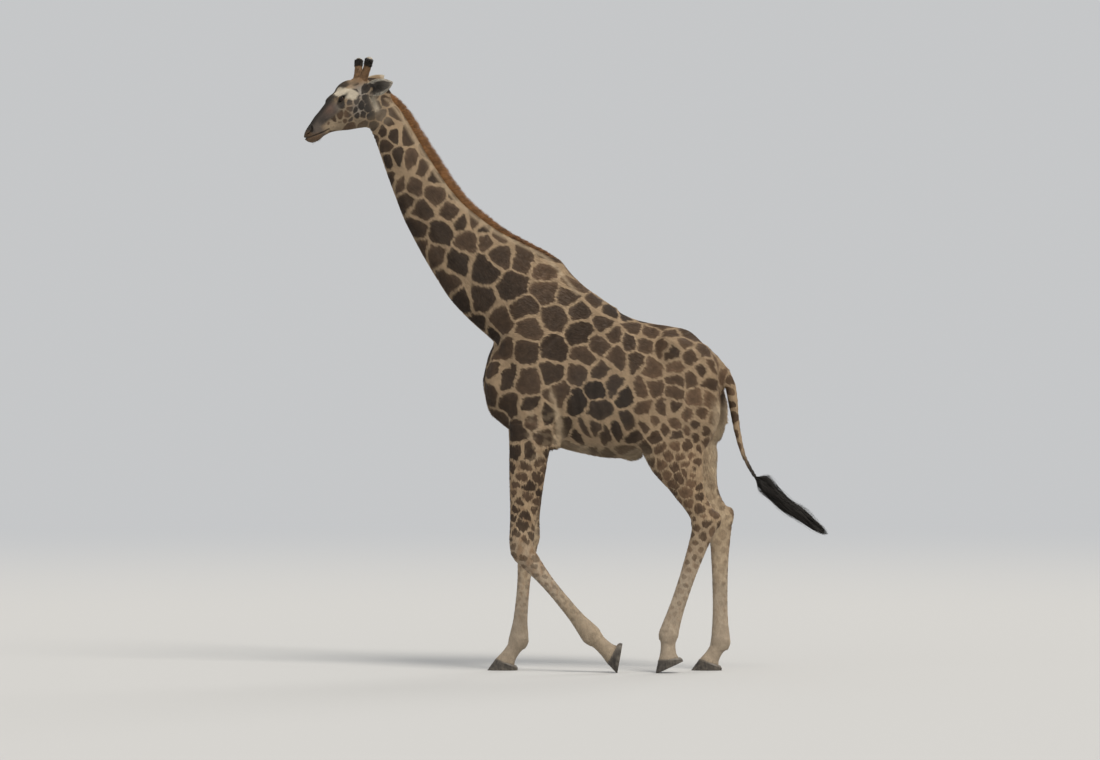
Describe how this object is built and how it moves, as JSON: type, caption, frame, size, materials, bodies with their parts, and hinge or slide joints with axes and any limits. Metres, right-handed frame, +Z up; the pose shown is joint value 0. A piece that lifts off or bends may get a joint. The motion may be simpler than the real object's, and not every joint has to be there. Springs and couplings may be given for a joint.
{
  "type": "giraffe, life-size still model",
  "caption": "Adult bull giraffe, life size, caught in mid stride: brown patches parted by tan lines, stiff brown mane, black tail tuft, cloven hooves, head raised and turned a little left.",
  "frame": {"origin": "on the floor, under the centre of the bounding box", "axes": "+Z up, the head points to -X, the animal's right side is at +Y and its left side at -Y"},
  "size_m": [4.0376, 0.6916, 4.7297],
  "materials": {
    "coat": "short flat hair, dark brown patches parted by tan lines, matt",
    "lower_leg": "short flat tan hair, faint brown blotches, matt",
    "mane": "stiff upright hair, reddish brown, matt",
    "tail_hair": "long coarse black hair, slight sheen",
    "horn": "brown haired stems with black hair round a worn pale top",
    "hoof": "dark grey horn, worn satin, fine growth rings",
    "eye": "wet gloss, very dark brown"
  },
  "bodies": {
    "root": {"head": "coat", "lower_jaw": "coat", "ear_left": "coat", "ear_right": "coat", "eye_left": "eye", "eye_right": "eye", "ossicone_left": "horn", "ossicone_right": "horn", "neck_upper": "coat", "neck_lower": "coat", "mane": "mane", "trunk": "coat", "tail": "coat", "tail_tuft": "tail_hair", "fore_left_upper": "coat", "fore_left_cannon": "lower_leg", "fore_left_pastern": "lower_leg", "fore_left_claw_inner": "hoof", "fore_left_claw_outer": "hoof", "fore_right_upper": "coat", "fore_right_cannon": "lower_leg", "fore_right_pastern": "lower_leg", "fore_right_claw_inner": "hoof", "fore_right_claw_outer": "hoof", "hind_left_upper": "coat", "hind_left_cannon": "lower_leg", "hind_left_pastern": "lower_leg", "hind_left_claw_inner": "hoof", "hind_left_claw_outer": "hoof", "hind_right_upper": "coat", "hind_right_cannon": "lower_leg", "hind_right_pastern": "lower_leg", "hind_right_claw_inner": "hoof", "hind_right_claw_outer": "hoof"}
  },
  "joints": []
}
